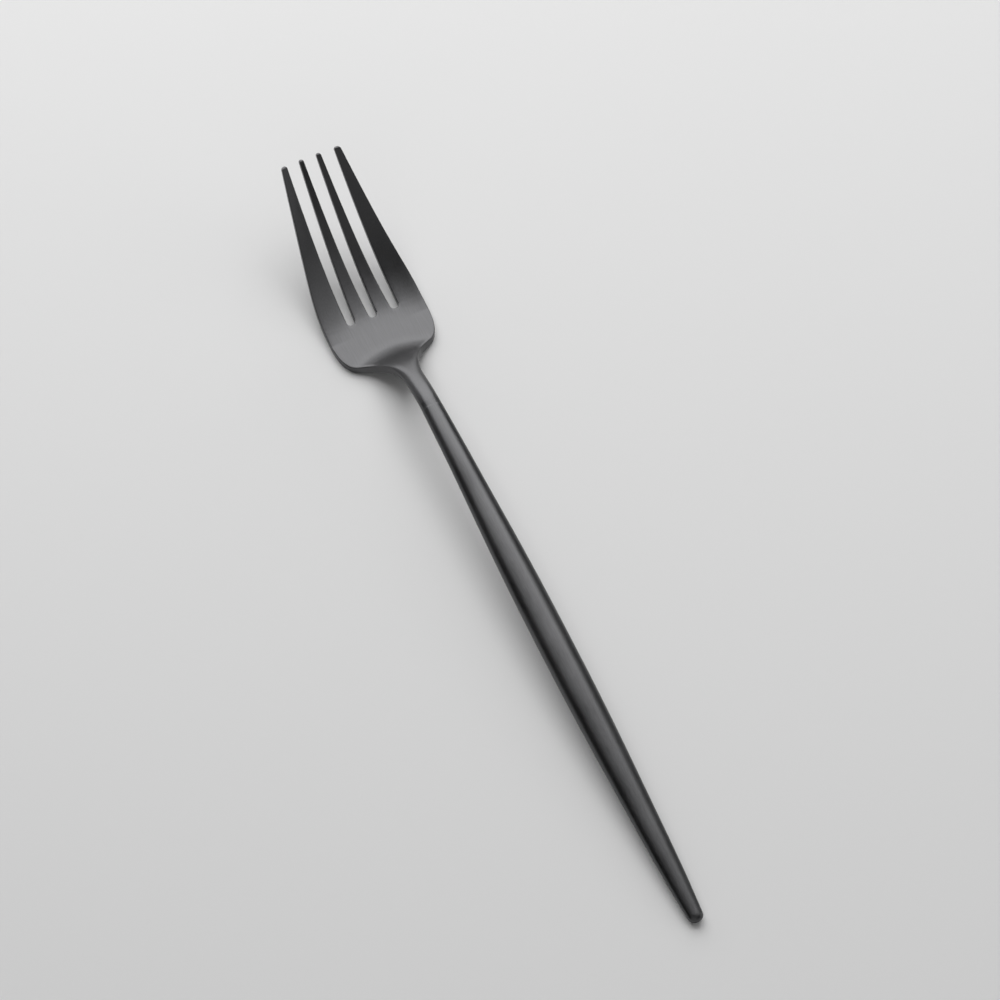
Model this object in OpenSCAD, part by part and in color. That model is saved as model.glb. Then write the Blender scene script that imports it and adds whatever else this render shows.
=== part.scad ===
// Dinner fork: a stamped four-tine head whose round peg sits in a solid tapered handle,
// closed by a weld that is ground flush with the neck.
// X runs from the handle's end to the tine tips, Z is up, and the fork lies on Z = 0.

/* [Fork] */
// Length over all, from the handle's end to the tine tips
fork_l = 215; // [200:1:230]
// Length of the stamped head, from the welded joint to the tine tips
head_l = 70.3; // [68:0.1:76]
// Height of the neck's centre line above the table
crest_z = 10.7; // [9:0.1:12]
// Height of the tine tips' centre line above the table
tip_z = 22; // [16:0.1:25]

/* [Handle] */
// Width of the handle at its widest point
handle_w = 8.1; // [7:0.1:9]
// Thickness of the handle at its widest point
handle_t = 5.8; // [5:0.1:6.5]
// Distance from the handle's end to its widest point
handle_belly = 75; // [60:1:90]
// Width of the handle at its end, before the rounding
handle_end_w = 3.6; // [2.8:0.1:4.5]
// Thickness of the handle at its end, before the rounding
handle_end_t = 2.6; // [2.2:0.1:3.2]
// Length over which the handle's end is rounded
handle_end_r = 1.6; // [1:0.1:2.4]

/* [Neck] */
// Width of the neck at the joint
neck_w = 5.1; // [4.4:0.1:6]
// Thickness of the neck at the joint
neck_t = 3.7; // [3.3:0.1:4.5]
// Length of the parallel neck in front of the joint
neck_l = 8.3; // [6:0.1:10]

/* [Head] */
// Widest width of the head, just behind the slots
head_w = 26.2; // [23:0.1:28]
// Length over which the neck flares out to the full width
flare_l = 21; // [19:0.5:22]
// Width across the outer tines at their tips
tips_w = 15.6; // [15.3:0.1:18]
// Thickness of the head at the root of the tines
root_t = 2; // [1.6:0.1:2.6]
// Thickness of the tines at their tips
tip_t = 1.25; // [1:0.05:1.6]
// Length over which the neck sinks down to the flat of the head
drop_l = 29.3; // [28.5:0.1:30]
// Length of the flat that the head rests on
rest_l = 3.5; // [2:0.5:3.5]
// Height that the outer tines' tips curl above the middle of the row of tips
dish_h = 1.4; // [0.4:0.1:2.4]
// Width of the rounding along the head's edges
edge_r = 0.2; // [0.15:0.05:0.5]

/* [Tines] */
// Number of tines
tines = 4; // [3:1:4]
// Length of the slots between the tines, with the rounding at their closed ends
slot_l = 37.3; // [32:0.1:38]
// Width of a slot at its closed end
slot_w = 2.15; // [1.8:0.05:2.6]
// Width of a slot between the tine tips
slot_tip_w = 3.45; // [2.8:0.05:3.5]
// Distance between the slots' centre lines at their closed ends
slot_pitch = 5.85; // [5.2:0.05:6]
// Distance between the slots' centre lines at the tine tips
slot_tip_pitch = 4.6; // [4.5:0.05:4.8]
// Depth of the rounding at a slot's closed end
slot_end_r = 0.9; // [0.5:0.1:1.1]
// Length over which a tine's tip is rounded
tip_r = 1; // [0.6:0.1:1.6]

/* [Joint] */
// Diameter of the head's peg
peg_d = 2; // [1.6:0.1:2.2]
// Length of the head's peg
peg_l = 9; // [6:0.5:12]
// Gap between the peg and its socket, all round
peg_gap = 0.03; // [0.02:0.01:0.06]
// Room left in the socket beyond the peg's end
peg_room = 0.5; // [0.2:0.1:1]
// Width of the weld at the neck's surface
weld_w = 1.2; // [0.8:0.1:2]
// Depth of the weld from the neck's surface
weld_depth = 0.45; // [0.3:0.05:0.5]

/* [Hidden] */
$fn = 48;

// How far joined and cut shapes reach past each other
overrun = 0.5;

joint_x = fork_l - head_l;
flare_x = joint_x + neck_l;
rest_x = joint_x + drop_l;
rise_x = rest_x + rest_l;
slot_x = fork_l - slot_l + slot_end_r;
wide_x = flare_x + flare_l;

// Half width of the handle, as shares of the way from its end to its widest point, and from there
// to the neck: [share of the length, share of the change in width]
belly_shares = [[0, 0], [0.08, 0.18], [0.16, 0.34], [0.27, 0.49], [0.4, 0.63], [0.53, 0.765],
    [0.67, 0.89], [0.8, 0.965], [1, 1]];
waist_shares = [[0, 0], [0.21, 0.055], [0.36, 0.17], [0.5, 0.35], [0.64, 0.56], [0.79, 0.75],
    [0.93, 0.91], [1, 1]];
// Height of the handle's centre line, from its end up to the neck
climb_shares = [[0, 0], [0.17, 0.18], [0.38, 0.41], [0.59, 0.625], [0.79, 0.845], [0.92, 0.98], [1, 1]];
// Fall of the neck's centre line to the head's flat, and rise of the tines from there
drop_shares = [[0, 0], [0.1, 0.035], [0.17, 0.08], [0.24, 0.139], [0.31, 0.2], [0.38, 0.266],
    [0.45, 0.344], [0.5, 0.41], [0.54, 0.475], [0.57, 0.534], [0.6, 0.604], [0.625, 0.675],
    [0.65, 0.755], [0.67, 0.819], [0.69, 0.861], [0.71, 0.887], [0.74, 0.923], [0.77, 0.955],
    [0.8, 0.981], [0.83, 0.996], [0.86, 1], [1, 1]];
rise_shares = [[0, 0], [0.07, 0.012], [0.2, 0.083], [0.33, 0.183], [0.47, 0.312], [0.6, 0.455],
    [0.73, 0.615], [0.87, 0.805], [1, 1]];
// Half width of the head over the flare, and down the outer tines to the tips
flare_shares = [[0, 0], [0.095, 0.005], [0.19, 0.03], [0.26, 0.07], [0.333, 0.135], [0.405, 0.235],
    [0.475, 0.333], [0.533, 0.465], [0.58, 0.62], [0.62, 0.75], [0.667, 0.837], [0.715, 0.889],
    [0.76, 0.928], [0.833, 0.965], [0.92, 0.988], [1, 1]];
side_shares = [[0, 0], [0.1, 0.004], [0.18, 0.023], [0.27, 0.08], [0.39, 0.208], [0.51, 0.36],
    [0.634, 0.519], [0.756, 0.677], [0.88, 0.838], [1, 1]];
// Thinning of the neck to the sheet of the head, and share of the half width that its edges'
// rounding takes, from an oval section to a flat one
thin_shares = [[0, 0], [0.28, 0.2], [0.41, 0.45], [0.52, 0.7], [0.62, 0.9], [0.76, 1], [1, 1]];
round_shares = [[0, 1], [0.31, 1], [0.4, 0.82], [0.46, 0.6], [0.52, 0.4], [0.59, 0.225], [0.66, 0.13],
    [0.73, 0.06], [0.8, 0.02], [0.9, 0], [1, 0]];
// Columns of a tine from its edge inwards, as shares of the edge's rounding
inset_shares = [0, 0.12, 0.45, 1];
// Most that the edges' rounding may take of half a tine
round_limit_share = 0.9;
// Shares of the thickness that stay square at the edges of the sheet and of the oval neck
square_share = 0.75;
neck_square_share = 0.2;
// Columns of the head between two tines, and how far each follows the rounding of the slot's end
slot_col_shares = [[0.2, 0.75], [0.5, 1], [0.8, 0.75]];
// Rounding of the tine tips and of the handle's end: [share of the length, share of the size left]
tip_round_shares = [[0.35, 0.97], [0.65, 0.87], [0.86, 0.7], [1, 0.45]];
end_round_shares = [[0, 0.3], [0.08, 0.5], [0.25, 0.74], [0.5, 0.91], [0.75, 0.98]];
// Rows of the head just behind the slots that the rounding of their ends still moves
fade_shares = [0.2, 0.5, 0.8];
// Squareness of the handle's section: 2 is an ellipse
end_square = 2.4;
mid_square = 2.1;

function clip(v) = min(1, max(0, v));
function mix(a, b, share) = a + (b - a) * share;
function steps(a, b, n) = [for (i = [0:n - 1]) mix(a, b, i / n)];

// A smooth curve through a table of shares that never swings past its points. start and end are
// 1 where the curve keeps its slope at that end, and 0 where it runs out level.
function secant(t, i) = (t[i + 1].y - t[i].y) / (t[i + 1].x - t[i].x);
function slope_at(t, i, start, end) =
    i == 0 ? start * secant(t, 0) :
    i == len(t) - 1 ? end * secant(t, i - 1) :
    let (before = secant(t, i - 1), after = secant(t, i))
    before * after <= 0 ? 0 : 2 * before * after / (before + after);
function curve(t, at, start = 0, end = 0) =
    let (
        u = clip(at),
        i = min(len(t) - 2, len([for (p = t) if (p.x <= u) p]) - 1),
        span = t[i + 1].x - t[i].x,
        s = (u - t[i].x) / span,
        m0 = slope_at(t, i, start, end) * span,
        m1 = slope_at(t, i + 1, start, end) * span
    )
    (2 * s ^ 3 - 3 * s ^ 2 + 1) * t[i].y + (s ^ 3 - 2 * s ^ 2 + s) * m0
    + (3 * s ^ 2 - 2 * s ^ 3) * t[i + 1].y + (s ^ 3 - s ^ 2) * m1;

// Handle: half width, half thickness and centre height at a distance x from its end
function to_belly(x) = curve(belly_shares, x / handle_belly, start = 1);
function to_neck(x) = curve(waist_shares, (x - handle_belly) / (joint_x - handle_belly), end = 1);
function along_handle(x, end_size, mid_size, neck_size) =
    x < handle_belly ? mix(end_size, mid_size, to_belly(x)) : mix(mid_size, neck_size, to_neck(x));
function handle_half_w(x) = along_handle(x, handle_end_w, handle_w, neck_w) / 2;
function handle_half_t(x) = along_handle(x, handle_end_t, handle_t, neck_t) / 2;
function handle_z(x) = mix(handle_end_t / 2, crest_z, curve(climb_shares, x / joint_x, start = 1));
function handle_square(x) = mix(end_square, mid_square, clip(x / handle_belly));

// Head: centre line, thickness and half width at a distance x from the handle's end
function head_z(x) =
    x < rest_x ? mix(crest_z, root_t / 2, curve(drop_shares, (x - joint_x) / drop_l)) :
    x < rise_x ? root_t / 2 :
    mix(root_t / 2, tip_z, curve(rise_shares, (x - rise_x) / (fork_l - rise_x), end = 1));
function head_t(x) =
    x < rest_x ? mix(neck_t, root_t, curve(thin_shares, (x - joint_x) / drop_l)) :
    mix(root_t, tip_t, clip((x - rise_x) / (fork_l - rise_x)));
function head_round(x) = curve(round_shares, (x - joint_x) / drop_l);
function head_half_w(x) =
    x < flare_x ? neck_w / 2 :
    x < wide_x ? mix(neck_w, head_w, curve(flare_shares, (x - flare_x) / flare_l)) / 2 :
    mix(head_w, tips_w, curve(side_shares, (x - wide_x) / (fork_l - wide_x), end = 1)) / 2;
function dish(x) = dish_h * clip((x - rise_x) / (fork_l - rise_x)) / (tips_w / 2) ^ 2;
// A small step along the head, to measure slopes with
probe = edge_r / 10;
function head_lean(x) = atan2(head_z(x + probe) - head_z(x - probe), 2 * probe);
function edge_stretch(x) = norm([1, (head_half_w(x + probe) - head_half_w(x - probe)) / (2 * probe)]);
// Width of the outer edges' rounding, measured straight across the head
function edge_w(x) =
    min(head_half_w(x), max(edge_r, head_half_w(x) * head_round(x)) * edge_stretch(x));

// Edges of the slots. Behind the slots, the same lines draw in with the outline to the neck.
function tine_share(x) = clip((x - slot_x) / (fork_l - slot_x));
function draw_in(x) = x < slot_x ? min(1, head_half_w(x) / head_half_w(slot_x)) : 1;
function slot_mid(k, x) =
    (k - (tines - 2) / 2) * mix(slot_pitch, slot_tip_pitch, tine_share(x)) * draw_in(x);
function slot_half(x) = mix(slot_w, slot_tip_w, tine_share(x)) / 2 * draw_in(x);
function tine_left(j, x) = j == 0 ? -head_half_w(x) : slot_mid(j - 1, x) + slot_half(x);
function tine_right(j, x) = j == tines - 1 ? head_half_w(x) : slot_mid(j, x) - slot_half(x);

// Number of rows of points along the neck, its flare, the tines and the handle
neck_row_n = 5;
flare_row_n = 26;
tine_row_n = 21;
handle_row_n = 34;

// Rows of the head's mesh: [x, share of the tine's size left, share of the slot end's shift,
// distance to the slot's end as a share of the edge's rounding]
plate_x = slot_x - edge_r - slot_end_r;
head_rows = concat(
    [for (x = steps(joint_x, flare_x, neck_row_n)) [x, 1, 0, 1]],
    [for (x = steps(flare_x, wide_x, flare_row_n)) [x, 1, 0, 1]],
    [[wide_x, 1, 0, 1]],
    [for (s = fade_shares) [mix(wide_x, plate_x, s), 1, s, 1]],
    [for (i = [len(inset_shares) - 1:-1:0]) [slot_x - inset_shares[i] * edge_r, 1, 1, inset_shares[i]]],
    [for (x = steps(slot_x, fork_l - tip_r, tine_row_n)) if (x > slot_x) [x, 1, 0, 0]],
    [[fork_l - tip_r, 1, 0, 0]],
    [for (s = tip_round_shares) [fork_l - tip_r + s.x * tip_r, s.y, 0, 0]]
);
slot_row = len([for (r = head_rows) if (r.x < slot_x) r]);

// Columns of the head's mesh: [tine, column within the tine, 0] or [slot, share across it, shift]
tine_cols = 2 * len(inset_shares) + 1;
is_slot_col = [for (j = [0:tines - 1])
    each concat([for (k = [1:tine_cols]) false], j < tines - 1 ? [true, true, true] : [])];
head_cols = [for (j = [0:tines - 1]) each concat(
    [for (k = [0:tine_cols - 1]) [j, k, 0]],
    j < tines - 1 ? [for (s = slot_col_shares) [j, s.x, s.y]] : [])];

// Place across the head of a column, and how far it is inside the nearest edge
function tine_y(j, k, x, left_size) =
    let (
        a = tine_left(j, x),
        b = tine_right(j, x),
        half = (b - a) / 2 * left_size,
        reach = edge_r * draw_in(x),
        in_a = min(half * round_limit_share, j == 0 ? edge_w(x) : reach),
        in_b = min(half * round_limit_share, j == tines - 1 ? edge_w(x) : reach),
        last = tine_cols - 1
    )
    k < last / 2 ? (a + b) / 2 - half + in_a * inset_shares[k] :
    k > last / 2 ? (a + b) / 2 + half - in_b * inset_shares[last - k] :
    (a + b) / 2;
function col_y(c, x, left_size) =
    is_slot_col[c] ? slot_mid(head_cols[c][0], x) + slot_half(x) * (2 * head_cols[c][1] - 1) :
    tine_y(head_cols[c][0], head_cols[c][1], x, left_size);
function col_inset(c) =
    is_slot_col[c] ? 0 :
    let (k = head_cols[c][1], last = tine_cols - 1) k == last / 2 ? 1 : inset_shares[min(k, last - k)];
function is_outer(c) =
    let (j = head_cols[c][0], k = head_cols[c][1], last = tine_cols - 1)
    !is_slot_col[c] && ((j == 0 && k < last / 2) || (j == tines - 1 && k > last / 2));
function inside(row, c) = is_outer(c) ? col_inset(c) : min(1, norm([col_inset(c), row[3]]));
function arc_share(inset) = sqrt(1 - (1 - clip(inset)) ^ 2);

// One pair of points of the head's mesh, above and below its centre line
function head_pair(row, c) =
    let (
        shift = is_slot_col[c] ? head_cols[c][2] * row[2] * slot_end_r : 0,
        x = row[0] - shift,
        y = col_y(c, x, row[1]),
        arc = arc_share(row[0] < plate_x ? (head_half_w(x) - abs(y)) / edge_w(x) : inside(row, c)),
        flat_share = mix(square_share, 1, arc),
        oval_share = max(neck_square_share, arc),
        half = head_t(x) / 2 * mix(flat_share, oval_share, head_round(x)) * row[1],
        lean = head_lean(x),
        lift = dish(x) * y ^ 2
    )
    [for (side = [1, -1])
        [x - (lift + side * half) * sin(lean), y, head_z(x) + (lift + side * half) * cos(lean)]];

row_n = len(head_rows);
col_n = len(head_cols);
head_points = [for (row = head_rows) for (c = [0:col_n - 1]) each head_pair(row, c)];
function top_at(i, j) = 2 * (i * col_n + j);
function low_at(i, j) = top_at(i, j) + 1;
function is_filled(i, j) =
    i >= 0 && i < row_n - 1 && j >= 0 && j < col_n - 1
    && !(i >= slot_row && (is_slot_col[j] || is_slot_col[j + 1]));
function split(q) = [[q[0], q[1], q[2]], [q[0], q[2], q[3]]];
head_faces = [for (i = [0:row_n - 2]) for (j = [0:col_n - 2]) if (is_filled(i, j)) each concat(
    split([top_at(i, j), top_at(i, j + 1), top_at(i + 1, j + 1), top_at(i + 1, j)]),
    split([low_at(i, j), low_at(i + 1, j), low_at(i + 1, j + 1), low_at(i, j + 1)]),
    is_filled(i, j - 1) ? [] : split([top_at(i, j), top_at(i + 1, j), low_at(i + 1, j), low_at(i, j)]),
    is_filled(i, j + 1) ? [] :
        split([low_at(i, j + 1), low_at(i + 1, j + 1), top_at(i + 1, j + 1), top_at(i, j + 1)]),
    is_filled(i - 1, j) ? [] : split([top_at(i, j + 1), top_at(i, j), low_at(i, j), low_at(i, j + 1)]),
    is_filled(i + 1, j) ? [] :
        split([low_at(i + 1, j + 1), low_at(i + 1, j), top_at(i + 1, j), top_at(i + 1, j + 1)]))];

// Middle of the fork's length, where the origin lies
middle_x = max([for (p = head_points) p.x]) / 2;

// A ring of points round the handle's section
ring_n = 28;
function power(v, square) = sign(v) * abs(v) ^ (2 / square);
function ring(x, half_w, half_t, z, square) = [for (k = [0:ring_n - 1])
    let (a = 360 * k / ring_n) [x, half_w * power(cos(a), square), z + half_t * power(sin(a), square)]];
function handle_ring(x, size_left = 1) = ring(x, handle_half_w(x) * size_left,
    handle_half_t(x) * size_left, handle_z(x), handle_square(x));
function weld_rings() =
    let (x = joint_x - weld_w, half_w = handle_half_w(x), half_t = handle_half_t(x), z = handle_z(x))
    [ring(x, half_w, half_t, z, mid_square),
        ring(joint_x, neck_w / 2, neck_t / 2, crest_z, mid_square),
        ring(joint_x, neck_w / 2 - weld_depth, neck_t / 2 - weld_depth, crest_z, mid_square)];

// Side faces between two rings of the same number of points
function band(a, b) = [for (k = [0:ring_n - 1]) let (n = (k + 1) % ring_n)
    each split([b * ring_n + k, b * ring_n + n, a * ring_n + n, a * ring_n + k])];

module loft(rings) {
    last = len(rings) - 1;
    polyhedron(
        points = [for (r = rings) each r],
        faces = concat(
            [for (i = [0:last - 1]) each band(i, i + 1)],
            [[for (k = [0:ring_n - 1]) k], [for (k = [ring_n - 1:-1:0]) last * ring_n + k]]));
}

module fork_head() {
    color([0.2, 0.2, 0.21]) translate([-middle_x, 0, 0]) {
        polyhedron(points = head_points, faces = head_faces);
        translate([joint_x - peg_l, 0, crest_z]) rotate([0, 90, 0])
            cylinder(h = peg_l + overrun, d = peg_d);
    }
}

module handle() {
    rows = concat(
        [for (s = end_round_shares) [s.x * handle_end_r, s.y]],
        [for (x = steps(handle_end_r, joint_x - weld_w, handle_row_n)) [x, 1]]);
    socket_l = peg_l + peg_room;
    color([0.16, 0.16, 0.17]) translate([-middle_x, 0, 0]) difference() {
        loft(concat([for (r = rows) handle_ring(r[0], r[1])], [weld_rings()[0], weld_rings()[2]]));
        translate([joint_x - socket_l, 0, crest_z]) rotate([0, 90, 0])
            cylinder(h = socket_l + overrun, d = peg_d + 2 * peg_gap);
    }
}

module neck_weld() {
    rings = weld_rings();
    color([0.24, 0.24, 0.25]) translate([-middle_x, 0, 0])
        polyhedron(points = [for (r = rings) each r], faces = concat(band(0, 1), band(1, 2), band(2, 0)));
}

fork_head();
handle();
neck_weld();
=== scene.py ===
import math
import bpy
import bmesh
from mathutils import Matrix, Vector


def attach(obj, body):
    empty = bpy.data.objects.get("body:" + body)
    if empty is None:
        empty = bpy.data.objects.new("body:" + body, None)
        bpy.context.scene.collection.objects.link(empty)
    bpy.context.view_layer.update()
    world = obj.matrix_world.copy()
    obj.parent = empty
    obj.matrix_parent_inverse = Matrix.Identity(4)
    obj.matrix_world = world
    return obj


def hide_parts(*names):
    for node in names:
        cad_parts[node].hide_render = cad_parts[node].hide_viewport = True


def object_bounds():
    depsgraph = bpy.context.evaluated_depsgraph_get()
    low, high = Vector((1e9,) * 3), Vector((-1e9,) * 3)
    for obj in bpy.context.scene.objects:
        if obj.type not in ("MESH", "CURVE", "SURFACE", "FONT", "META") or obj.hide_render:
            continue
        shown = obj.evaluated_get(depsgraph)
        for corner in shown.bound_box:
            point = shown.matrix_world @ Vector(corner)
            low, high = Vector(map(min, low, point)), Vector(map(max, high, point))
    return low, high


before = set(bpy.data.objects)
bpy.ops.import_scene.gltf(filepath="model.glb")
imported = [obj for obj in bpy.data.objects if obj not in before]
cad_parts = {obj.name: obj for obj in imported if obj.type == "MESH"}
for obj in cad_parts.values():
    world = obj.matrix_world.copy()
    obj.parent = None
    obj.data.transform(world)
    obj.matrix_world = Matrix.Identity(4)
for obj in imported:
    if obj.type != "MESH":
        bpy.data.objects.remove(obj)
cadLow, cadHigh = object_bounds()
mm = 0.001  # sizes below are in millimetres from the handle's end, meshes are in metres
handleEnd = cadLow.x / mm
print("frame loaded")


# Shares and curves that the outlines follow

def clip(value):
    return min(1.0, max(0.0, value))


def mix(start, end, share):
    return start + (end - start) * share


def steps(start, end, count):
    return [mix(start, end, i / count) for i in range(count)]


def curve(shares, at, startSlope=0.0, endSlope=0.0):  # smooth, and never past its own points
    at = clip(at)
    last = len(shares) - 1
    i = max(k for k in range(last) if shares[k][0] <= at)

    def secant(k):
        return (shares[k + 1][1] - shares[k][1]) / (shares[k + 1][0] - shares[k][0])

    def slope(k):
        if k == 0:
            return startSlope * secant(0)
        if k == last:
            return endSlope * secant(last - 1)
        before, after = secant(k - 1), secant(k)
        return 0.0 if before * after <= 0 else 2 * before * after / (before + after)

    span = shares[i + 1][0] - shares[i][0]
    s = (at - shares[i][0]) / span
    return ((2 * s**3 - 3 * s**2 + 1) * shares[i][1] + (s**3 - 2 * s**2 + s) * slope(i) * span
            + (3 * s**2 - 2 * s**3) * shares[i + 1][1] + (s**3 - s**2) * slope(i + 1) * span)


def summed(slopes, count):  # shares of the height that slopes along the length add up to
    heights = [0.0]
    for i in range(count):
        heights.append(heights[-1] + curve(slopes, (i + 0.5) / count, startSlope=1.0, endSlope=1.0))
    return [(i / count, height / heights[-1]) for i, height in enumerate(heights)]


def superOval(angle, halfWidth, halfThickness, squareness):
    def bend(value):
        return math.copysign(abs(value) ** (2 / squareness), value)
    return halfWidth * bend(math.cos(angle)), halfThickness * bend(math.sin(angle))


# The neck is shared by all three pieces
neck = {
    "joint": 144.7,  # where the head meets the handle
    "height": 10.7,  # of its centre line above the table
    "width": 5.1,
    "thickness": 3.7,
    "squareness": 2.1,
    "weldWidth": 1.2,
    "weldDepth": 0.45,
}


# Geometry Nodes helpers

def addNode(tree, kind, inputs=None, **settings):
    node = tree.nodes.new(kind)
    for name, value in settings.items():
        setattr(node, name, value)
    for key, value in (inputs or {}).items():
        if isinstance(value, bpy.types.NodeSocket):
            tree.links.new(value, node.inputs[key])
        else:
            node.inputs[key].default_value = value
    return node


def calc(tree, operation, *values):
    node = addNode(tree, "ShaderNodeMath", dict(enumerate(values)), operation=operation)
    return node.outputs[0]


def choose(tree, test, ifFalse, ifTrue):
    node = addNode(tree, "GeometryNodeSwitch", {"Switch": test, "False": ifFalse, "True": ifTrue},
                   input_type="FLOAT")
    return node.outputs[0]


def follow(tree, shares, at):  # a Float Curve through the shares
    node = addNode(tree, "ShaderNodeFloatCurve", {"Value": at})
    points = node.mapping.curves[0].points
    while len(points) < len(shares):
        points.new(0.5, 0.5)
    for point, (x, y) in zip(points, shares):
        point.location = (x, y)
        point.handle_type = "AUTO_CLAMPED"
    node.mapping.update()
    return node.outputs[0]


def blendBy(tree, start, end, share):
    return calc(tree, "MULTIPLY_ADD", calc(tree, "SUBTRACT", end, start), share, start)


# Steel with a thin black coating, brushed along the fork

steel = {
    "darkTone": (0.075, 0.075, 0.077),
    "lightTone": (0.107, 0.107, 0.11),
    # lighter tone at the edges: worn coating and a painted highlight along them
    "wornAndHighlitTone": (0.2, 0.2, 0.205),
    "smoothest": 0.30,
    "roughest": 0.42,
    "brushFineness": 5200.0,  # strokes per metre across the fork
    "brushLength": 0.035,  # share of that along the fork
    "brushDepth": 0.0000035,
    "cloudFineness": 90.0,
    "grainFineness": 2600.0,
    "strokeShare": 0.6,  # of the mottling, the rest is clouds
    "grainShare": 0.2,  # of the bump, the rest is strokes
    "toneRange": (0.3, 0.72),  # of the mottling, from dark to light
    "roughRange": (0.3, 0.7),  # of the mottling, from smooth to rough
    "wearAndHighlightFalloff": 2.0,
    "wearAndHighlightStrength": 0.5,
}


def buildSteel(name, wornAndHighlitEdgeName=None):
    material = bpy.data.materials.new(name)
    material.use_nodes = True
    tree = material.node_tree
    tree.nodes.clear()
    place = addNode(tree, "ShaderNodeTexCoord").outputs["Object"]
    across = steel["brushFineness"]
    along = addNode(tree, "ShaderNodeMapping", {
        "Vector": place, "Scale": (across * steel["brushLength"], across, across)})
    strokes = addNode(tree, "ShaderNodeTexNoise", {
        "Vector": along.outputs[0], "Scale": 1.0, "Detail": 3.0, "Roughness": 0.55})
    clouds = addNode(tree, "ShaderNodeTexNoise", {
        "Vector": place, "Scale": steel["cloudFineness"], "Detail": 4.0, "Roughness": 0.6})
    grain = addNode(tree, "ShaderNodeTexNoise", {
        "Vector": place, "Scale": steel["grainFineness"], "Detail": 2.0, "Roughness": 0.5})
    mottling = calc(tree, "MULTIPLY_ADD", strokes.outputs["Fac"], steel["strokeShare"],
                    calc(tree, "MULTIPLY", clouds.outputs["Fac"], 1 - steel["strokeShare"]))
    tone = addNode(tree, "ShaderNodeValToRGB", {"Fac": mottling})
    stops = zip(tone.color_ramp.elements, steel["toneRange"], ("darkTone", "lightTone"))
    for stop, position, shade in stops:
        stop.position = position
        stop.color = (*steel[shade], 1)
    colour = tone.outputs["Color"]
    if wornAndHighlitEdgeName:  # the edges are lighter: partly coating worn thin by handling, partly a painted highlight along them
        edge = addNode(tree, "ShaderNodeAttribute", attribute_name=wornAndHighlitEdgeName)
        wearAndHighlight = calc(tree, "MULTIPLY", calc(tree, "POWER", edge.outputs["Fac"], steel["wearAndHighlightFalloff"]),
                    calc(tree, "MULTIPLY", mottling, steel["wearAndHighlightStrength"]))
        wornAndHighlit = addNode(tree, "ShaderNodeMix", {"Factor": wearAndHighlight, 6: colour, 7: (*steel["wornAndHighlitTone"], 1)},
                       data_type="RGBA")  # 6 and 7 are its two colours, 2 the blended one
        colour = wornAndHighlit.outputs[2]
    rough = addNode(tree, "ShaderNodeMapRange", {
        "Value": mottling, "From Min": steel["roughRange"][0], "From Max": steel["roughRange"][1],
        "To Min": steel["smoothest"], "To Max": steel["roughest"]})
    height = calc(tree, "MULTIPLY_ADD", strokes.outputs["Fac"], 1 - steel["grainShare"],
                  calc(tree, "MULTIPLY", grain.outputs["Fac"], steel["grainShare"]))
    bump = addNode(tree, "ShaderNodeBump", {
        "Height": height, "Strength": 1.0, "Distance": steel["brushDepth"]})
    shader = addNode(tree, "ShaderNodeBsdfPrincipled", {
        "Base Color": colour, "Metallic": 1.0, "Roughness": rough.outputs[0], "Normal": bump.outputs[0]})
    addNode(tree, "ShaderNodeOutputMaterial", {"Surface": shader.outputs[0]})
    return material


handleSteel = buildSteel("brushedBlackSteel")
headSteel = buildSteel("brushedBlackSteelWithWornAndHighlitEdges", "edgeWearAndHighlight")
print("materials ready")


# Handle: an oval bar swept along its rising centre line, in Geometry Nodes

handle = {
    "skinLength": neck["joint"] - neck["weldWidth"],
    "widestAt": 75.0,
    "widestWidth": 8.1,
    "widestThickness": 5.8,
    "endWidth": 3.6,
    "endThickness": 2.6,
    "endRounding": 1.6,
    "squareness": 2.3,  # of its section, which turns into the neck's oval
    "socketDepth": 9.5,
    "socketRadius": 1.03,
    "rings": 420,
    "pointsRound": 96,
    "crowding": 1.7,  # rings lie closer together towards the end
    "tailRows": 4,  # past the skin: the nose, the socket's mouth, its foot and the middle of that
    "sharpAngle": 35,  # edges that bend more, in degrees, stay sharp
    "mergeWithin": 0.0001,
    "bellyShares": [(0, 0), (0.08, 0.18), (0.16, 0.34), (0.27, 0.49), (0.4, 0.63), (0.53, 0.765),
                    (0.67, 0.89), (0.8, 0.965), (1, 1)],
    "waistShares": [(0, 0), (0.21, 0.055), (0.36, 0.17), (0.5, 0.35), (0.64, 0.56), (0.79, 0.75),
                    (0.93, 0.91), (1, 1)],
    "climbShares": [(0, 0), (0.17, 0.18), (0.38, 0.41), (0.59, 0.625), (0.79, 0.845), (0.92, 0.98), (1, 1)],
    "endShares": [(0, 0.3), (0.08, 0.5), (0.25, 0.74), (0.5, 0.91), (0.75, 0.98), (1, 1)],
}

handleLengths = {  # inputs of the tree, in millimetres
    "Handle end": handleEnd,
    "Skin length": handle["skinLength"],
    "Widest at": handle["widestAt"],
    "Widest width": handle["widestWidth"],
    "Widest thickness": handle["widestThickness"],
    "End width": handle["endWidth"],
    "End thickness": handle["endThickness"],
    "End rounding": handle["endRounding"],
    "Joint": neck["joint"],
    "Neck width": neck["width"],
    "Neck thickness": neck["thickness"],
    "Neck height": neck["height"],
    "Weld depth": neck["weldDepth"],
    "Socket radius": handle["socketRadius"],
    "Socket depth": handle["socketDepth"],
}
handleCounts = {"Rings": handle["rings"], "Points round": handle["pointsRound"]}


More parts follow.
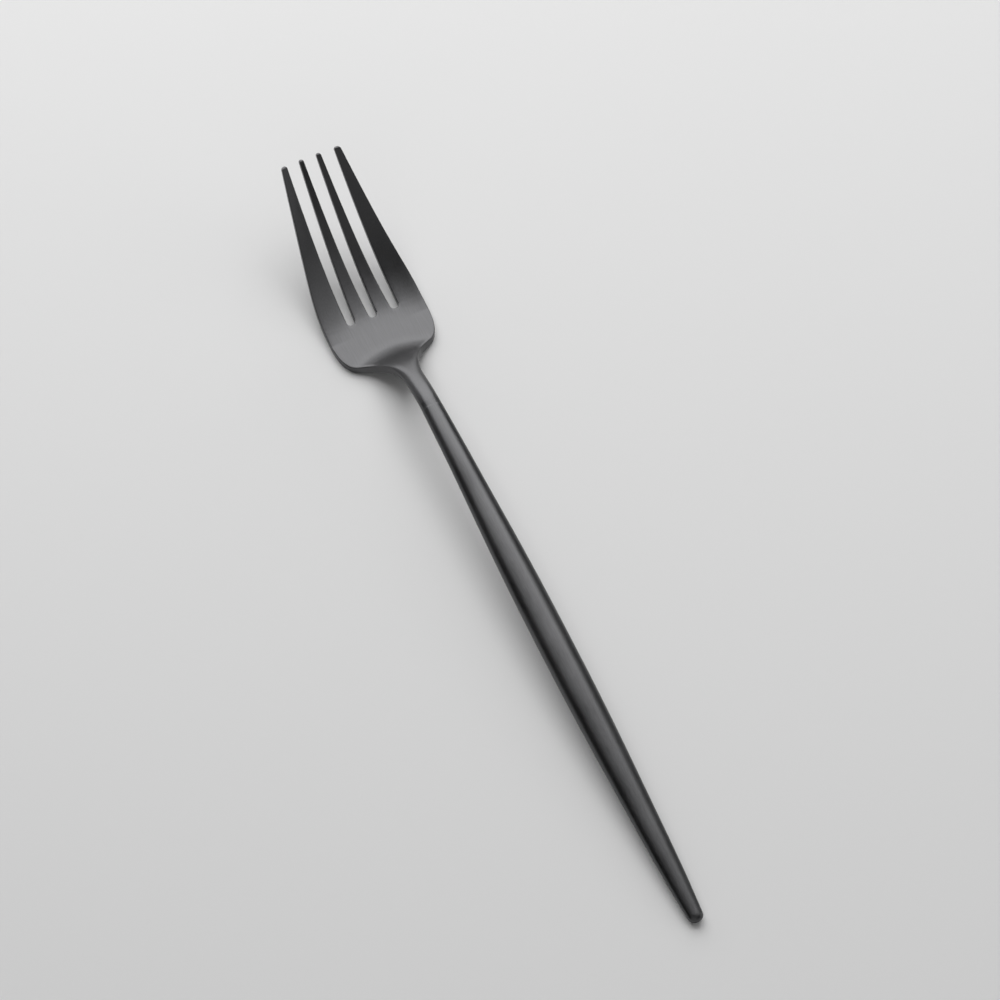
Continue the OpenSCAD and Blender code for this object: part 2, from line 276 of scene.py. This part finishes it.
def buildHandleTree():
    tree = bpy.data.node_groups.new("ovalBarHandle", "GeometryNodeTree")
    face = tree.interface
    face.new_socket("Geometry", in_out="INPUT", socket_type="NodeSocketGeometry")
    for name in handleLengths:
        face.new_socket(name, in_out="INPUT", socket_type="NodeSocketFloat")
    for name in handleCounts:
        face.new_socket(name, in_out="INPUT", socket_type="NodeSocketInt")
    face.new_socket("Steel", in_out="INPUT", socket_type="NodeSocketMaterial")
    face.new_socket("Geometry", in_out="OUTPUT", socket_type="NodeSocketGeometry")
    size = addNode(tree, "NodeGroupInput").outputs

    # A grid: rows follow each other along the bar, columns run round it, and row 0 is the end's middle
    columns = calc(tree, "ADD", size["Points round"], 1)
    grid = addNode(tree, "GeometryNodeMeshGrid", {
        "Vertices X": calc(tree, "ADD", size["Rings"], 1 + handle["tailRows"]), "Vertices Y": columns})
    index = addNode(tree, "GeometryNodeInputIndex").outputs[0]
    row = calc(tree, "FLOOR", calc(tree, "DIVIDE", calc(tree, "ADD", index, 0.5), columns))
    column = calc(tree, "SUBTRACT", index, calc(tree, "MULTIPLY", row, columns))
    angle = calc(tree, "MULTIPLY", calc(tree, "DIVIDE", column, size["Points round"]), 2 * math.pi)
    share = calc(tree, "DIVIDE", calc(tree, "SUBTRACT", row, 1), calc(tree, "SUBTRACT", size["Rings"], 1))
    share = calc(tree, "MINIMUM", calc(tree, "MAXIMUM", share, 0), 1)
    skinX = calc(tree, "MULTIPLY", calc(tree, "POWER", share, handle["crowding"]), size["Skin length"])

    # Half width, half thickness and height of the bar at that place
    toBelly = calc(tree, "MINIMUM", calc(tree, "DIVIDE", skinX, size["Widest at"]), 1)
    belly = follow(tree, handle["bellyShares"], toBelly)
    toNeck = calc(tree, "DIVIDE", calc(tree, "SUBTRACT", skinX, size["Widest at"]),
                  calc(tree, "SUBTRACT", size["Joint"], size["Widest at"]))
    waist = follow(tree, handle["waistShares"], calc(tree, "MAXIMUM", toNeck, 0))
    pastBelly = calc(tree, "GREATER_THAN", skinX, size["Widest at"])
    ends = follow(tree, handle["endShares"],
                  calc(tree, "MINIMUM", calc(tree, "DIVIDE", skinX, size["End rounding"]), 1))

    def skinHalf(endName, widestName, neckName):
        behind = blendBy(tree, size[endName], size[widestName], belly)
        ahead = blendBy(tree, size[widestName], size[neckName], waist)
        full = calc(tree, "MULTIPLY", choose(tree, pastBelly, behind, ahead), ends)
        return calc(tree, "MULTIPLY", full, 0.5)

    halfWidth = skinHalf("End width", "Widest width", "Neck width")
    halfThickness = skinHalf("End thickness", "Widest thickness", "Neck thickness")
    low = calc(tree, "MULTIPLY", size["End thickness"], 0.5)
    height = blendBy(tree, low, size["Neck height"],
                     follow(tree, handle["climbShares"], calc(tree, "DIVIDE", skinX, size["Joint"])))
    square = blendBy(tree, handle["squareness"], neck["squareness"], waist)

    # Past the skin the rows turn in to the weld's bevel and the blind socket
    tail = addNode(tree, "FunctionNodeFloatToInt", {0: calc(tree, "MAXIMUM", calc(
        tree, "SUBTRACT", row, size["Rings"]), 0)}).outputs[0]
    socketEnd = calc(tree, "SUBTRACT", size["Joint"], size["Socket depth"])

    def byTail(*values):
        node = addNode(tree, "GeometryNodeIndexSwitch", data_type="FLOAT")
        while len(node.index_switch_items) < len(values):
            node.index_switch_items.new()
        tree.links.new(tail, node.inputs["Index"])
        for i, value in enumerate(values):
            if isinstance(value, bpy.types.NodeSocket):
                tree.links.new(value, node.inputs[i + 1])
            else:
                node.inputs[i + 1].default_value = value
        return node.outputs[0]

    def noseHalf(name):
        return calc(tree, "SUBTRACT", calc(tree, "MULTIPLY", size[name], 0.5), size["Weld depth"])

    notPole = calc(tree, "GREATER_THAN", row, 0.5)
    radius = size["Socket radius"]
    x = byTail(skinX, size["Joint"], size["Joint"], socketEnd, socketEnd)
    halfWidth = calc(tree, "MULTIPLY", halfWidth, notPole)
    halfWidth = byTail(halfWidth, noseHalf("Neck width"), radius, radius, 0.0)
    halfThickness = calc(tree, "MULTIPLY", halfThickness, notPole)
    halfThickness = byTail(halfThickness, noseHalf("Neck thickness"), radius, radius, 0.0)
    height = byTail(height, *[size["Neck height"]] * handle["tailRows"])
    square = byTail(square, neck["squareness"], 2.0, 2.0, 2.0)

    def bend(value):
        power = calc(tree, "POWER", calc(tree, "ABSOLUTE", value), calc(tree, "DIVIDE", 2, square))
        return calc(tree, "MULTIPLY", calc(tree, "SIGN", value), power)

    place = addNode(tree, "ShaderNodeCombineXYZ", {
        "X": calc(tree, "ADD", x, size["Handle end"]),
        "Y": calc(tree, "MULTIPLY", halfWidth, bend(calc(tree, "COSINE", angle))),
        "Z": calc(tree, "MULTIPLY_ADD", halfThickness, bend(calc(tree, "SINE", angle)), height)})
    moved = addNode(tree, "GeometryNodeSetPosition", {
        "Geometry": grid.outputs["Mesh"], "Position": place.outputs[0]})
    merged = addNode(tree, "GeometryNodeMergeByDistance", {
        "Geometry": moved.outputs[0], "Distance": handle["mergeWithin"] * mm})
    smooth = addNode(tree, "GeometryNodeSetShadeSmooth", {0: merged.outputs[0]})
    bent = addNode(tree, "GeometryNodeInputMeshEdgeAngle").outputs[0]
    crease = calc(tree, "GREATER_THAN", bent, math.radians(handle["sharpAngle"]))
    sharp = addNode(tree, "GeometryNodeSetShadeSmooth", {
        0: smooth.outputs[0], 1: crease, 2: False}, domain="EDGE")
    real = addNode(tree, "GeometryNodeRealizeInstances", {0: sharp.outputs[0]})
    coated = addNode(tree, "GeometryNodeSetMaterial", {
        "Geometry": real.outputs[0], "Material": size["Steel"]})
    addNode(tree, "NodeGroupOutput", {0: coated.outputs[0]})
    return tree


def buildHandle():
    tree = buildHandleTree()
    piece = bpy.data.objects.new("handleBar", bpy.data.meshes.new("handleBar"))
    bpy.context.scene.collection.objects.link(piece)
    modifier = piece.modifiers.new("ovalBar", "NODES")
    modifier.node_group = tree
    values = {name: length * mm for name, length in handleLengths.items()}
    values.update(handleCounts)
    values["Steel"] = handleSteel
    for item in tree.interface.items_tree:
        if item.in_out == "INPUT" and item.name in values:
            modifier[item.identifier] = values[item.name]
    graph = bpy.context.evaluated_depsgraph_get()
    made = bpy.data.meshes.new_from_object(piece.evaluated_get(graph))
    piece.modifiers.clear()
    piece.data = made
    return piece


handleBar = buildHandle()
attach(handleBar, "root")
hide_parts("handle")
print("handle made:", len(handleBar.data.vertices), "points")


# Head: neck, shoulders, flat and four tines pressed from one sheet, as one grid of points

head = {
    "length": 70.3,
    "neckLength": 8.3,
    "dropLength": 29.3,
    "footCurve": 0.024,  # how far the foot's edge swings back at the sides, per mm squared
    "restLength": 0.2,  # level stretch before the tines' rise
    "flareLength": 21.0,
    "width": 26.2,
    "tipsWidth": 15.6,
    "tipHeight": 22.15,
    "rootThickness": 2.0,
    "tipThickness": 1.25,
    "dish": 1.4,
    "edge": 0.2,  # width of the edges' rounding
    "edgeSquare": 0.75,  # share of the sheet's thickness that stays square at the edge
    "edgeMost": 0.9,  # share of a tine's half width that an edge's rounding takes at most
    "tines": 4,
    "slotLength": 37.3,
    "slotWidth": 2.15,
    "slotTipWidth": 3.45,
    "slotPitch": 5.85,
    "slotTipPitch": 4.6,
    "slotEnd": 0.9,  # how deep the slots' round ends are
    "slotEndSquareness": 2.2,
    "tipRounding": 0.5,
    "tipTrim": 0.04,  # keeps the rounded tips' low side inside the full length
    "pegRadius": 1.0,
    "pegLength": 9.0,
    "pegRoot": 0.3,  # how far the peg reaches into the neck
    # How steep the foot and the tines are, at shares of their length
    "dropSlopes": [(0, 0.15), (0.05, 0.37), (0.14, 0.62), (0.25, 0.88), (0.35, 1.0), (0.45, 1.36),
                   (0.56, 2.3), (0.62, 2.62), (0.66, 2.1), (0.7, 1.53), (0.77, 1.06), (0.83, 0.27),
                   (0.88, 0.03), (0.94, 0), (1, 0)],
    "riseSlopes": [(0, 0), (0.05, 0.06), (0.15, 0.315), (0.3, 0.66), (0.42, 0.95), (0.5, 1.09),
                   (0.6, 1.29), (0.8, 1.515), (1, 1.7)],
    # Share of the full width, thickness or rounding that is reached at a share of the length
    "flareShares": [(0, 0), (0.095, 0.005), (0.19, 0.03), (0.26, 0.07), (0.333, 0.135),
                    (0.405, 0.235), (0.475, 0.333), (0.533, 0.465), (0.58, 0.62), (0.62, 0.75),
                    (0.667, 0.837), (0.715, 0.889), (0.76, 0.928), (0.833, 0.965), (0.92, 0.988), (1, 1)],
    "sideShares": [(0, 0), (0.1, 0.004), (0.18, 0.023), (0.27, 0.08), (0.39, 0.208), (0.51, 0.36),
                   (0.634, 0.519), (0.756, 0.677), (0.88, 0.838), (1, 1)],
    "thinShares": [(0, 0), (0.28, 0.2), (0.41, 0.45), (0.52, 0.7), (0.62, 0.9), (0.76, 1), (1, 1)],
    "roundShares": [(0, 1), (0.31, 1), (0.4, 0.82), (0.46, 0.61), (0.52, 0.43), (0.58, 0.27), (0.64, 0.15),
                    (0.7, 0.07), (0.76, 0.03), (0.82, 0.01), (0.9, 0), (1, 0)],
    "edgeShares": [0, 0.03, 0.12, 0.27, 0.47, 0.72, 1],  # columns from an edge inwards
    "crowdShare": 1 / 3,  # of the drop, where the columns crowd to the outer edges
    "flatColumns": 5,
    "slotColumns": 9,
    "neckRows": 40,
    "flareRows": 110,
    "flatRows": 14,
    "tineRows": 150,
    "tipRows": 12,
    "pegSides": 48,
    "slopeSteps": 60,
    "sharpAngle": 50,
    "mergeWithin": 0.0002,
}
total = neck["joint"] + head["length"]
flareAt = neck["joint"] + head["neckLength"]
restAt = neck["joint"] + head["dropLength"]
riseAt = restAt + head["restLength"]
wideAt = flareAt + head["flareLength"]
slotAt = total - head["slotLength"] + head["slotEnd"]
plateAt = slotAt - head["edge"] - head["slotEnd"]
dropShares = summed(head["dropSlopes"], head["slopeSteps"])
riseShares = summed(head["riseSlopes"], head["slopeSteps"])


def headHeight(x, y=0.0):  # the neck comes down to the sheet as a rounded foot
    if x < restAt:
        share = (x + head["footCurve"] * y * y - neck["joint"]) / head["dropLength"]
        return mix(neck["height"], head["rootThickness"] / 2, curve(dropShares, share))
    rise = curve(riseShares, (x - riseAt) / (total - riseAt), endSlope=1.0)
    return mix(head["rootThickness"] / 2, head["tipHeight"], rise)


def headThickness(x):
    if x < restAt:
        thinning = curve(head["thinShares"], (x - neck["joint"]) / head["dropLength"])
        return mix(neck["thickness"], head["rootThickness"], thinning)
    return mix(head["rootThickness"], head["tipThickness"], clip((x - riseAt) / (total - riseAt)))


def headRound(x):  # share of the half width that the edges' rounding takes
    return curve(head["roundShares"], (x - neck["joint"]) / head["dropLength"])


def headHalfWidth(x):
    if x < wideAt:
        flare = curve(head["flareShares"], (x - flareAt) / head["flareLength"])
        return mix(neck["width"], head["width"], flare) / 2
    side = curve(head["sideShares"], (x - wideAt) / (total - wideAt), endSlope=1.0)
    return mix(head["width"], head["tipsWidth"], side) / 2


def slopeOf(rule, x, probe=0.05):
    return (rule(x + probe) - rule(x - probe)) / (2 * probe)


def dishAt(x):
    return head["dish"] * clip((x - riseAt) / (total - riseAt)) / (head["tipsWidth"] / 2) ** 2


def drawIn(x):
    return min(1.0, headHalfWidth(x) / headHalfWidth(slotAt)) if x < slotAt else 1.0


def slotMiddle(k, x):
    share = clip((x - slotAt) / (total - slotAt))
    pitch = mix(head["slotPitch"], head["slotTipPitch"], share)
    return (k - (head["tines"] - 2) / 2) * pitch * drawIn(x)


def slotHalf(x):
    share = clip((x - slotAt) / (total - slotAt))
    return mix(head["slotWidth"], head["slotTipWidth"], share) / 2 * drawIn(x)


def tineSides(j, x):
    left = -headHalfWidth(x) if j == 0 else slotMiddle(j - 1, x) + slotHalf(x)
    right = headHalfWidth(x) if j == head["tines"] - 1 else slotMiddle(j, x) - slotHalf(x)
    return left, right


def headColumns():  # what each column of the grid is: part of a tine, or of a slot
    columns = []
    edges = head["edgeShares"]
    inner = head["flatColumns"]
    for j in range(head["tines"]):
        for share in edges:
            columns.append(("left", j, share))
        for i in range(inner):
            columns.append(("flat", j, (i + 1) / (inner + 1)))
        for share in reversed(edges):
            columns.append(("right", j, share))
        if j < head["tines"] - 1:
            for i in range(head["slotColumns"]):
                columns.append(("slot", j, (i + 1) / (head["slotColumns"] + 1)))
    return columns


def headRows():  # each row's place, its cut at the tips, and its shift and distance from the slots' ends
    rows = [(x, 0.0, 0.0, 1.0) for x in steps(neck["joint"], flareAt, head["neckRows"])]
    rows += [(x, 0.0, 0.0, 1.0) for x in steps(flareAt, wideAt, head["flareRows"])]
    for i in range(head["flatRows"]):
        share = i / head["flatRows"]
        rows.append((mix(wideAt, plateAt, share), 0.0, share, 1.0))
    for share in reversed(head["edgeShares"]):
        rows.append((slotAt - share * head["edge"], 0.0, 1.0, share))
    tineEnd = total - head["tipRounding"] - head["tipTrim"]
    for x in steps(slotAt, tineEnd, head["tineRows"])[1:]:
        rows.append((x, 0.0, 0.0, 0.0))
    for i in range(head["tipRows"] + 1):
        angle = math.pi / 2 * i / head["tipRows"]
        rows.append((tineEnd + math.sin(angle) * head["tipRounding"],
                     (1 - math.cos(angle)) * head["tipRounding"], 0.0, 0.0))
    return rows


def edgeHeight(inset, square):  # share of the thickness at a share of the edge's rounding
    bend = 1 - (1 - clip(inset)) ** neck["squareness"]
    return mix(square, 1.0, bend ** (1 / neck["squareness"]))


def headPoint(row, column, order):
    x, tipCut, endShift, endInset = row
    kind, j, share = column
    reach = head["edge"] * drawIn(x)
    if kind == "slot":
        x -= math.sqrt(1 - abs(2 * share - 1) ** head["slotEndSquareness"]) * endShift * head["slotEnd"]
        y = slotMiddle(j, x) + slotHalf(x) * (2 * share - 1)
        inset = 0.0
    else:
        left, right = tineSides(j, x)
        middle, half = (left + right) / 2, (right - left) / 2 - tipCut
        stretch = math.hypot(1, slopeOf(headHalfWidth, x))
        insetMost = half * head["edgeMost"]
        insetLeft = min(insetMost, reach * (stretch if j == 0 else 1))
        insetRight = min(insetMost, reach * (stretch if j == head["tines"] - 1 else 1))
        if kind == "left":
            y, inset = middle - half + insetLeft * share, share
        elif kind == "right":
            y, inset = middle + half - insetRight * share, share
        else:
            y, inset = mix(middle - half + insetLeft, middle + half - insetRight, share), 1.0
    outer = (kind == "left" and j == 0) or (kind == "right" and j == head["tines"] - 1)
    if not outer:
        inset = math.hypot(inset, endInset)
    roundness = headRound(x)
    halfWidth = headHalfWidth(x)
    if x < plateAt:  # towards the neck the columns crowd to the outer edges and round an oval
        crowding = clip((restAt - x) / (head["crowdShare"] * head["dropLength"]))
        y = mix(y, -halfWidth * math.cos(math.pi * order), crowding)
        stretch = math.hypot(1, slopeOf(headHalfWidth, x))
        inset = (halfWidth - abs(y)) / min(halfWidth, max(head["edge"], roundness * halfWidth) * stretch)
    square = head["edgeSquare"] * (1 - roundness ** 2)
    half = (headThickness(x) / 2 - tipCut) * edgeHeight(inset, square)
    lean = math.atan(slopeOf(lambda place: headHeight(place, y), x))
    lift = dishAt(x) * y * y
    # lighter edges: worn coating and a painted highlight, strongest at the outer side of each edge's
    # rounding
    wearAndHighlight = (1 - clip(inset)) * (1 - roundness) ** 3
    return x, y, headHeight(x, y), half, lean, lift, wearAndHighlight


def buildHead():
    rows, columns = headRows(), headColumns()
    firstTine = len([row for row in rows if row[0] < slotAt])
    mesh = bmesh.new()
    # the edges' share of worn coating and painted highlight, read by the head's material
    wearAndHighlightLayer = mesh.verts.layers.float.new("edgeWearAndHighlight")
    top, low = {}, {}
    for i, row in enumerate(rows):
        for k, column in enumerate(columns):
            if column[0] == "slot" and i > firstTine:
                continue
            x, y, z, half, lean, lift, wearAndHighlight = headPoint(row, column, k / (len(columns) - 1))
            for store, side in ((top, 1), (low, -1)):
                rise = lift + side * half
                store[i, k] = mesh.verts.new((
                    (handleEnd + x - rise * math.sin(lean)) * mm, y * mm, (z + rise * math.cos(lean)) * mm))
                store[i, k][wearAndHighlightLayer] = wearAndHighlight

    def filled(i, k):
        if not (0 <= i < len(rows) - 1 and 0 <= k < len(columns) - 1):
            return False
        return i < firstTine or not (columns[k][0] == "slot" or columns[k + 1][0] == "slot")

    for i in range(len(rows) - 1):
        for k in range(len(columns) - 1):
            if not filled(i, k):
                continue
            near, far = (i, k), (i, k + 1)
            nextNear, nextFar = (i + 1, k), (i + 1, k + 1)
            mesh.faces.new((top[near], top[nextNear], top[nextFar], top[far]))
            mesh.faces.new((low[near], low[far], low[nextFar], low[nextNear]))
            if not filled(i, k - 1):
                mesh.faces.new((top[near], low[near], low[nextNear], top[nextNear]))
            if not filled(i, k + 1):
                mesh.faces.new((top[far], top[nextFar], low[nextFar], low[far]))
            if not filled(i - 1, k):
                mesh.faces.new((top[near], top[far], low[far], low[near]))
            if not filled(i + 1, k):
                mesh.faces.new((top[nextNear], low[nextNear], low[nextFar], top[nextFar]))
    bmesh.ops.remove_doubles(mesh, verts=mesh.verts, dist=head["mergeWithin"] * mm)
    pegMiddle = neck["joint"] + (head["pegRoot"] - head["pegLength"]) / 2
    bmesh.ops.create_cone(
        mesh, cap_ends=True, segments=head["pegSides"], radius1=head["pegRadius"] * mm,
        radius2=head["pegRadius"] * mm, depth=(head["pegRoot"] + head["pegLength"]) * mm,
        matrix=Matrix.Translation(((handleEnd + pegMiddle) * mm, 0, neck["height"] * mm))
        @ Matrix.Rotation(math.pi / 2, 4, "Y"))
    bmesh.ops.recalc_face_normals(mesh, faces=mesh.faces)
    for face in mesh.faces:
        face.smooth = True
    for edge in mesh.edges:
        if edge.is_manifold and edge.calc_face_angle() > math.radians(head["sharpAngle"]):
            edge.smooth = False
    data = bpy.data.meshes.new("forkHead")
    mesh.to_mesh(data)
    mesh.free()
    data.materials.append(headSteel)
    piece = bpy.data.objects.new("forkHead", data)
    bpy.context.scene.collection.objects.link(piece)
    return piece


forkHead = buildHead()
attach(forkHead, "root")
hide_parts("fork_head")
print("head made:", len(forkHead.data.vertices), "points")


# Weld: a ring of metal in the bevel between handle and head, ground flush with the neck

weld = {"pointsRound": 96, "sharpAngle": 20}


def buildWeld():
    start = neck["joint"] - neck["weldWidth"]
    toNeck = (start - handle["widestAt"]) / (neck["joint"] - handle["widestAt"])
    share = curve(handle["waistShares"], toNeck, endSlope=1.0)
    outerHalves = [mix(handle[wide], neck[narrow], share) / 2
                   for wide, narrow in (("widestWidth", "width"), ("widestThickness", "thickness"))]
    height = mix(handle["endThickness"] / 2, neck["height"],
                 curve(handle["climbShares"], start / neck["joint"], startSlope=1.0))
    neckHalves = [neck["width"] / 2, neck["thickness"] / 2]
    rootHalves = [half - neck["weldDepth"] for half in neckHalves]
    rings = [(start, outerHalves, height), (neck["joint"], neckHalves, neck["height"]),
             (neck["joint"], rootHalves, neck["height"])]
    mesh = bmesh.new()
    loops = []
    for x, halves, z in rings:
        loop = []
        for k in range(weld["pointsRound"]):
            y, rise = superOval(2 * math.pi * k / weld["pointsRound"], *halves, neck["squareness"])
            loop.append(mesh.verts.new(((handleEnd + x) * mm, y * mm, (z + rise) * mm)))
        loops.append(loop)
    for here, there in zip(loops, loops[1:] + loops[:1]):
        for k in range(weld["pointsRound"]):
            following = (k + 1) % weld["pointsRound"]
            face = mesh.faces.new((here[k], here[following], there[following], there[k]))
            face.smooth = True
    bmesh.ops.recalc_face_normals(mesh, faces=mesh.faces)
    for edge in mesh.edges:
        edge.smooth = edge.calc_face_angle() < math.radians(weld["sharpAngle"])
    data = bpy.data.meshes.new("neckWeld")
    mesh.to_mesh(data)
    mesh.free()
    data.materials.append(handleSteel)
    piece = bpy.data.objects.new("neckWeld", data)
    bpy.context.scene.collection.objects.link(piece)
    return piece


neckWeld = buildWeld()
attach(neckWeld, "root")
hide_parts("neck_weld")
print("weld made")


# Table, light and camera

tableTop = {"size": 3.0, "colour": (0.74, 0.74, 0.74), "roughness": 0.9}  # size in metres


def buildTable():
    half = tableTop["size"] / 2
    data = bpy.data.meshes.new("tableTop")
    corners = [(-half, -half, 0), (half, -half, 0), (half, half, 0), (-half, half, 0)]
    data.from_pydata(corners, [], [(0, 1, 2, 3)])
    material = bpy.data.materials.new("paleTable")
    material.use_nodes = True
    shader = material.node_tree.nodes["Principled BSDF"]
    shader.inputs["Base Color"].default_value = (*tableTop["colour"], 1)
    shader.inputs["Roughness"].default_value = tableTop["roughness"]
    data.materials.append(material)
    piece = bpy.data.objects.new("tableTop", data)
    bpy.context.scene.collection.objects.link(piece)


cameraSettings = {
    "elevation": 61.0,  # degrees above the table
    "turn": 25.31,  # degrees that the fork is turned in the picture
    "distance": 1.0,
    "focalShare": 4.163,  # focal length as a share of the picture's width
    "sensor": 36.0,
    "aim": (11.31, -6.41),  # the table's point at the middle of the picture, from the fork's middle
}
turn = math.radians(cameraSettings["turn"])
pictureRight = Vector((-math.sin(turn), -math.cos(turn), 0))
pictureAway = Vector((math.cos(turn), -math.sin(turn), 0))
aim = Vector((cameraSettings["aim"][0] * mm, cameraSettings["aim"][1] * mm, 0))


def placeAt(right, away, up):
    return aim + pictureRight * right + pictureAway * away + Vector((0, 0, up))


def buildCamera():
    data = bpy.data.cameras.new("camera")
    data.sensor_width = cameraSettings["sensor"]
    data.lens = cameraSettings["sensor"] * cameraSettings["focalShare"]
    camera = bpy.data.objects.new("camera", data)
    bpy.context.scene.collection.objects.link(camera)
    rise = math.radians(cameraSettings["elevation"])
    reach = cameraSettings["distance"]
    camera.location = placeAt(0, -math.cos(rise) * reach, math.sin(rise) * reach)
    camera.rotation_mode = "QUATERNION"
    camera.rotation_quaternion = (aim - camera.location).to_track_quat("-Z", "Y")
    bpy.context.scene.camera = camera


lampDistance = 1.0
lamps = {  # bearing in degrees from straight away to the right, height in degrees, size in metres
    "windowLamp": {"bearing": -12, "height": 40.5, "size": (1.3, 0.95), "power": 12.2},
    "windowTopFill": {"bearing": -12, "height": 72, "size": (1.3, 0.5), "power": 1.3},
    "windowSillFill": {"bearing": -12, "height": 8, "size": (1.3, 0.25), "power": 1.0},
    "sideFill": {"bearing": 75, "height": 42, "size": (0.9, 0.9), "power": 1.1},
    "highSideFill": {"bearing": 60, "height": 68, "size": (0.9, 0.7), "power": 0.9},
    "lowRightFill": {"bearing": 90, "height": 14, "size": (0.9, 0.4), "power": 0.9},
    "lowLeftFill": {"bearing": -60, "height": 14, "size": (0.7, 0.4), "power": 0.65},
    "frontFill": {"bearing": 180, "height": 20, "size": (1.4, 0.5), "power": 1.0},
    "highFrontFill": {"bearing": 180, "height": 50, "size": (1.2, 0.7), "power": 0.75},
}
roomLight = 0.005


def buildLight():
    for name, lamp in lamps.items():
        data = bpy.data.lights.new(name, "AREA")
        data.shape = "RECTANGLE"
        data.size, data.size_y = lamp["size"]
        data.energy = lamp["power"]
        piece = bpy.data.objects.new(name, data)
        bpy.context.scene.collection.objects.link(piece)
        bearing, height = math.radians(lamp["bearing"]), math.radians(lamp["height"])
        reach = lampDistance * math.cos(height)
        piece.location = placeAt(reach * math.sin(bearing), reach * math.cos(bearing),
                                 lampDistance * math.sin(height))
        piece.rotation_mode = "QUATERNION"
        piece.rotation_quaternion = (aim - piece.location).to_track_quat("-Z", "Y")
    world = bpy.data.worlds.new("studio")
    world.use_nodes = True
    background = world.node_tree.nodes["Background"]
    background.inputs["Color"].default_value = (roomLight, roomLight, roomLight, 1)
    bpy.context.scene.world = world
    bpy.context.scene.view_settings.view_transform = "Standard"


buildTable()
buildCamera()
buildLight()
print("table, light and camera set")
